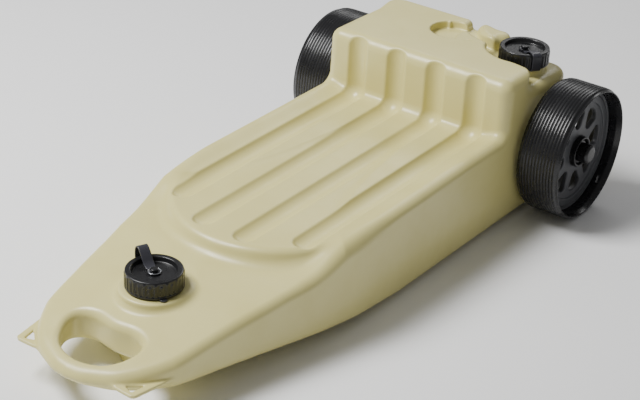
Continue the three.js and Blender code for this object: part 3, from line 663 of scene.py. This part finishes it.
def build_cap(label, place, route, heading, nub_heading, black, satin, rubber, rim_material):
    count = CAP_RIBS * 12
    profile = divided(softened(CAP_PROFILE), 1.2)
    points, groups = swept(profile, count, cap_ribs)
    body = mesh_object(f"{label}_cap_moulding", points + place, groups, black)
    fit(body, f"{label}_cap_turn", "cap_plastic", f"{label}_cap")
    points, groups = thread(CAP_BORE + 0.3, CAP_BORE - THREAD_DEPTH, math.pi)
    ridge = mesh_object(f"{label}_cap_thread", points + place, groups, black)
    fit(ridge, f"{label}_cap_turn", "cap_plastic")
    points, groups = swept(divided(softened(STUD_PROFILE, False), 0.8, False), 48)
    stud = mesh_object(f"{label}_stud_turned", points + place, groups, black)
    fit(stud, f"{label}_cap_lift", "cap_plastic", f"{label}_tether_stud")
    points, groups = swept(divided(softened(SEAL_PROFILE), 1), 96)
    seal = mesh_object(f"{label}_seal_washer", points + place, groups, rubber)
    fit(seal, f"{label}_cap_lift", "seal_rubber", f"{label}_cap_seal")
    # rim_material is steel on the front cap, painting the bright highlight ring round the stud; the rear
    # rim stays cap black
    points, groups = swept(softened(EYELET_RIM), 64)
    rim = mesh_object(f"{label}_eyelet_rim", points + place, groups, rim_material)
    fit(rim, f"{label}_cap_lift", "tether_plastic")
    low, high = (-50, -50, -1), (50, 50, 50)
    points, quads = skin(tether_field(route, heading, nub_heading), low, high, TRIM_VOXEL)
    strap = mesh_object(f"{label}_tether_strap", points + place, [quads], satin)
    fit(strap, None, "tether_plastic", f"{label}_cap_tether")
    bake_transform(strap)


# ---- wheels and axle: turned about the axle, heights run outboard ------------------

WHEEL_RADIUS = AXLE_Z
WHEEL_INNER, WHEEL_OUTER = 169.5, 237.5
TREAD_RIBS = 12
TREAD_DEPTH = 1.3
HUB_TUBE = 23
HUB_COLLAR = 22.5
HUB_FACE = 214
HUB_END = 223
HUB_SKIRT = 88.9
HUB_BORE, HUB_WELL, HUB_WELL_FLOOR = 9.3, 20, 216.2
HUB_DISC, HUB_DISC_HALF = 88, 4
PETALS = 8
PETAL_POINTS = [(36, 0), (39, -6.5), (47, -11), (57, -16), (64, -12), (66.5, 0), (64, 12),
                (57, 16), (47, 11), (39, 6.5)]
PETAL_START = 0.09
petal_distance = plan_map(spline(PETAL_POINTS, 6, closed=True), 0.5, 25)
COLLAR_PROFILE = [(19.4, 215.4, 0.3), (23.3, 214.3, 0.5), (23.3, 223.6, 1.2), (20.6, 223.6, 1),
                  (19.4, 222, 0.6)]
BUSH_PROFILE = [(6.3, 170, 0.3), (9, 170, 0.3), (9, 216.6, 0.1), (12, 216.6, 0.4),
                (12, 218.6, 0.4), (6.3, 218.6, 0.3)]
SPACER_PROFILE = [(6.3, 163.1, 0.4), (13, 163.1, 0.6), (13, 169.4, 0.6), (6.3, 169.4, 0.4)]
WASHER_PROFILE = [(6.3, 219, 0.2), (17, 219, 0.4), (17, 220.6, 0.4), (6.3, 220.6, 0.2)]
AXLE_CAP_PROFILE = [(0, 235, 0), (6.3, 235, 0.3), (6.3, 221, 0.3), (14.5, 221, 0.5),
                    (14.5, 235.6, 1.8), (11.5, 238, 1.6), (0, 238, 0)]
AXLE_PROFILE = [(0, -234.4, 0), (6, -234.4, 1), (6, 234.4, 1), (0, 234.4, 0)]


def tread_profile():
    """The drum's outline: a ribbed tread with rounded shoulders and a thin outer lip."""
    heights = np.linspace(WHEEL_INNER + 3, WHEEL_OUTER - 4.5, 300)
    span = heights[-1] - heights[0]
    phase = (heights - heights[0]) / span * TREAD_RIBS
    edge = np.minimum(heights - WHEEL_INNER, WHEEL_OUTER - heights)
    shoulder = 2.8 * np.clip(1 - edge / 11, 0, 1) ** 2
    valley = TREAD_DEPTH * (1 - np.sqrt(np.abs(np.sin(math.pi * phase)) + 1e-4))
    radii = WHEEL_RADIUS - shoulder - np.clip(valley, 0, TREAD_DEPTH)
    radii[np.argmax(radii)] = WHEEL_RADIUS
    outer = list(zip(radii, heights))
    ends = softened([(96.6, WHEEL_OUTER, 0.6), (95.2, WHEEL_OUTER, 0.5), (92, WHEEL_OUTER - 9, 2),
                     (92, WHEEL_INNER, 1), (96.2, WHEEL_INNER, 1.4)], False)
    low = [(97.2, WHEEL_INNER + 1)]
    high = [(97.1, WHEEL_OUTER - 2), (96.9, WHEEL_OUTER - 0.7)]
    return divided(np.array(low + outer + high + list(ends)), 3)


def hub_field(x, y, z):
    radius = np.hypot(x, y)
    turn = np.mod(np.arctan2(y, x) - PETAL_START + math.pi / PETALS, 2 * math.pi / PETALS)
    turn = turn - math.pi / PETALS
    window = petal_distance(radius * np.cos(turn), radius * np.sin(turn))
    disc = convex(np.abs(z - HUB_FACE + HUB_DISC_HALF) - HUB_DISC_HALF, radius - HUB_DISC, 1)
    disc = cut(disc, window, 1.8)
    ring = convex(np.abs(radius - 80.5) - 6, np.abs(z - 211.5) - 5.5, 1.5)
    skirt = convex(np.abs(radius - HUB_SKIRT) - 2.8, np.abs(z - 194.5) - 22.5, 0.8)
    groove = np.hypot(radius - 88, z - 217) - 2.2
    tube = convex(radius - HUB_TUBE, np.abs(z - 190) - 20, 1)
    collar = convex(radius - HUB_COLLAR, np.abs(z - 216) - (HUB_END - 216), 1.2)
    solid = fillet(fillet(disc, ring, 1.5), np.minimum(tube, collar), 2.5)
    solid = cut(fillet(solid, skirt, 0.8), groove, 0.4)
    well = np.maximum(radius - HUB_WELL, HUB_WELL_FLOOR - z)
    return cut(cut(solid, radius - HUB_BORE, 0.4), well, 1.2)


def outboard(points, side):
    """Points turned from +Z on to the axle, pointing out of the side given (+1 or -1)."""
    return np.stack([side * points[:, 2], AXLE_Y + points[:, 0], AXLE_Z + points[:, 1]], 1)


def wheel_piece(name, shape, side, material, body, slot, node):
    points, groups = shape
    groups = groups if side > 0 else flipped(groups)
    fit(mesh_object(name, outboard(points, side), groups, material), body, slot, node)


def lathe(profile, count, spacing=2.5, closed=True):
    return swept(divided(softened(profile, closed), spacing, closed), count)


def build_wheels(tyre_black, grey, nylon, steel, black):
    tyre = swept(tread_profile(), 220)
    points, quads = skin(hub_field, (-93, -93, 168), (93, 93, 231), HUB_VOXEL)
    shapes = [
        ("wheel_tyre", tyre, tyre_black, "tyre_plastic"),
        ("wheel_hub", (points, [quads]), grey, "hub_plastic"),
        ("wheel_bush", lathe(BUSH_PROFILE, 64), nylon, "bush_nylon"),
        ("axle_end_cap", lathe(AXLE_CAP_PROFILE, 64, 1, False), black, "cap_plastic"),
    ]
    collar = lathe(COLLAR_PROFILE, 96, 1)
    for side, label in ((1, "right"), (-1, "left")):
        fit(mesh_object(f"wheel_collar_{label}", outboard(collar[0], side),
                        collar[1] if side > 0 else flipped(collar[1]), black),
            f"{label}_wheel", "cap_plastic")
        for node, shape, material, slot in shapes:
            body = "tank_body" if node == "axle_end_cap" else f"{label}_wheel"
            wheel_piece(f"{node}_{label}_form", shape, side, material, body, slot, f"{node}_{label}")
        spacer = lathe(SPACER_PROFILE, 64)
        wheel_piece(f"wheel_spacer_{label}_form", spacer, side, nylon, "tank_body", "bush_nylon",
                    f"wheel_spacer_{label}")
        washer = lathe(WASHER_PROFILE, 64)
        wheel_piece(f"axle_washer_{label}_form", washer, side, black, "tank_body", "cap_plastic",
                    f"axle_washer_{label}")
    rod = lathe(AXLE_PROFILE, 48, 6, False)
    wheel_piece("axle_rod", rod, 1, steel, "tank_body", "axle_steel", "axle")


# ---- materials --------------------------------------------------------------------

def srgb(red, green, blue):
    return (*[(c / 255 / 12.92) if c <= 10.31 else ((c / 255 + 0.055) / 1.055) ** 2.4
              for c in (red, green, blue)], 1)


def node(tree, kind, **settings):
    made = tree.nodes.new(kind)
    for name, value in settings.items():
        setattr(made, name, value)
    return made


def noise(tree, where, scale, detail=3):
    made = node(tree, "ShaderNodeTexNoise")
    made.inputs["Scale"].default_value = scale
    made.inputs["Detail"].default_value = detail
    tree.links.new(where, made.inputs["Vector"])
    return made.outputs["Fac"]


def spread(tree, value, low, high, to_low, to_high):
    made = node(tree, "ShaderNodeMapRange", interpolation_type="SMOOTHSTEP")
    tree.links.new(value, made.inputs["Value"])
    for name, number in (("From Min", low), ("From Max", high), ("To Min", to_low), ("To Max", to_high)):
        made.inputs[name].default_value = number
    return made.outputs["Result"]


def mixed(tree, share, first, second):
    made = node(tree, "ShaderNodeMix", data_type="RGBA")
    tree.links.new(share, made.inputs[0])
    for slot, value in ((6, first), (7, second)):
        if isinstance(value, tuple):
            made.inputs[slot].default_value = value
        else:
            tree.links.new(value, made.inputs[slot])
    return made.outputs[2]


def bumped(tree, height, strength, distance, below=None):
    made = node(tree, "ShaderNodeBump")
    made.inputs["Strength"].default_value = strength
    made.inputs["Distance"].default_value = distance
    tree.links.new(height, made.inputs["Height"])
    if below:
        tree.links.new(below, made.inputs["Normal"])
    return made.outputs["Normal"]


def moulded(name, colour, shade, edge_wear_and_highlight, roughness, grain, metallic=0.0):
    """A moulded plastic: mottled colour, pale edges that are partly wear and partly painted highlight,
    dull grain and a fine bump.

    grain is (grains per metre, bump strength, bump height in metres).
    """
    material = bpy.data.materials.new(name)
    material.use_nodes = True
    tree = material.node_tree
    shader = tree.nodes["Principled BSDF"]
    where = node(tree, "ShaderNodeTexCoord").outputs["Object"]
    edge = node(tree, "ShaderNodeNewGeometry").outputs["Pointiness"]
    mottle = spread(tree, noise(tree, where, 14), 0.35, 0.65, 0, 0.55)
    base = mixed(tree, mottle, colour, shade)
    speck = spread(tree, noise(tree, where, 420, 2), 0.58, 0.72, 0, 0.22)
    base = mixed(tree, speck, base, shade)
    # convex edges are lightened: partly wear, partly a painted highlight standing in for sheen on edges
    # and beads
    edge_wear_and_highlight_mask = spread(tree, edge, 0.53, 0.62, 0, 0.4)
    base = mixed(tree, edge_wear_and_highlight_mask, base, edge_wear_and_highlight)
    tree.links.new(base, shader.inputs["Base Color"])
    dull = spread(tree, noise(tree, where, 55, 4), 0.3, 0.7, roughness[0], roughness[1])
    tree.links.new(dull, shader.inputs["Roughness"])
    shader.inputs["Metallic"].default_value = metallic
    scale, strength, height = grain
    wave = bumped(tree, noise(tree, where, 22, 2), 0.25, 0.0012)
    fine = bumped(tree, noise(tree, where, scale, 3), strength, height, wave)
    tree.links.new(fine, shader.inputs["Normal"])
    return material


def tan_plastic():
    return moulded("tan_polyethylene", srgb(218, 209, 141), srgb(211, 201, 130), srgb(229, 222, 170),
                   (0.28, 0.38), (900, 0.3, 0.0001))


def floor_paint():
    paint = bpy.data.materials.new("floor_paint")
    paint.use_nodes = True
    tree = paint.node_tree
    shader = tree.nodes["Principled BSDF"]
    where = node(tree, "ShaderNodeTexCoord").outputs["Object"]
    tone = mixed(tree, noise(tree, where, 3), srgb(249, 249, 249), srgb(246, 246, 246))
    tree.links.new(tone, shader.inputs["Base Color"])
    shader.inputs["Roughness"].default_value = 0.9
    return paint


# ---- stage --------------------------------------------------------------------------

FLOOR_REACH = 6000
CAMERA_PLACE = (1.11944, -1.90260, 1.11386)     # metres, from a point below the axle's middle
CAMERA_TURNS = (35.92, 28.31, 2.65)             # degrees: azimuth, elevation, roll
CAMERA_LENS = 88.37
CAMERA_SHIFT = (0.0108, -0.0007)


def build_stage():
    far = FLOOR_REACH
    floor = mesh_object("floor", [(-far, -far, 0), (far, -far, 0), (far, far, 0), (-far, far, 0)],
                        [[(0, 1, 2, 3)]], floor_paint())
    world = bpy.data.worlds.new("studio")
    bpy.context.scene.world = world
    world.use_nodes = True
    world.node_tree.nodes["Background"].inputs["Color"].default_value = (1, 1, 1, 1)
    world.node_tree.nodes["Background"].inputs["Strength"].default_value = 0.2


def area_light(name, place, target, size, power):
    data = bpy.data.lights.new(name, "AREA")
    data.shape = "RECTANGLE"
    data.size, data.size_y = size
    data.energy = power
    light = bpy.data.objects.new(name, data)
    light.location = place
    light.rotation_mode = "QUATERNION"
    light.rotation_quaternion = (Vector(target) - Vector(place)).to_track_quat("-Z", "Y")
    bpy.context.scene.collection.objects.link(light)


def build_camera():
    data = bpy.data.cameras.new("camera")
    data.lens = CAMERA_LENS
    data.shift_x, data.shift_y = CAMERA_SHIFT
    camera = bpy.data.objects.new("camera", data)
    azimuth, elevation, roll = [math.radians(turn) for turn in CAMERA_TURNS]
    back = Vector((math.sin(azimuth) * math.cos(elevation), -math.cos(azimuth) * math.cos(elevation),
                   math.sin(elevation)))
    right = Vector((math.cos(azimuth), math.sin(azimuth), 0))
    up = back.cross(right)
    across = right * math.cos(roll) + up * math.sin(roll)
    upward = up * math.cos(roll) - right * math.sin(roll)
    place = Vector(CAMERA_PLACE) + Vector((0, AXLE_Y * MM, 0))
    camera.matrix_world = Matrix((
        [across.x, upward.x, back.x, place.x],
        [across.y, upward.y, back.y, place.y],
        [across.z, upward.z, back.z, place.z],
        [0, 0, 0, 1],
    ))
    bpy.context.scene.collection.objects.link(camera)
    bpy.context.scene.camera = camera


build_camera()
build_stage()
area_light("key", (-1.15, -0.95, 2.3), (0, -0.1, 0.1), (1.1, 1.1), 112)
area_light("back", (-0.5, 2.4, 1.8), (0, 0.2, 0.1), (2.2, 0.7), 16)

black = moulded("black_cap_plastic", srgb(27, 27, 28), srgb(20, 20, 22), srgb(58, 58, 60),
                (0.24, 0.36), (1400, 0.3, 0.0001))
# the strap's pale edge colour is a painted sheen on its edges and on the bead round the eyelet
satin = moulded("black_strap_plastic", srgb(56, 56, 62), srgb(46, 46, 52), srgb(96, 96, 102),
                (0.26, 0.36), (1400, 0.3, 0.0001))
tyre_black = moulded("tyre_plastic", srgb(30, 30, 32), srgb(24, 24, 25), srgb(72, 72, 74),
                     (0.22, 0.32), (1100, 0.25, 0.0001))
grey = moulded("hub_plastic", srgb(76, 77, 80), srgb(68, 69, 72), srgb(104, 105, 108),
               (0.42, 0.52), (1000, 0.4, 0.00015))
nylon = moulded("nylon", srgb(228, 226, 216), srgb(218, 214, 200), srgb(238, 237, 232),
                (0.4, 0.5), (1200, 0.3, 0.0001))
steel = moulded("zinc_steel", srgb(176, 178, 182), srgb(160, 162, 168), srgb(205, 206, 208),
                (0.25, 0.4), (1600, 0.3, 0.00005), 1.0)
rubber = moulded("seal_rubber", srgb(38, 38, 42), srgb(30, 30, 33), srgb(60, 60, 64),
                 (0.7, 0.85), (1300, 0.4, 0.0001))

build_tank(tan_plastic())
# the steel given for the front eyelet rim paints the highlight ring round the stud
build_cap("front", FRONT_NECK, FRONT_ROUTE, math.radians(156), math.radians(-31), black, satin,
          rubber, steel)
build_cap("rear", REAR_NECK, REAR_ROUTE, math.radians(-33), math.radians(150), black, satin,
          rubber, black)
build_wheels(tyre_black, grey, nylon, steel, black)
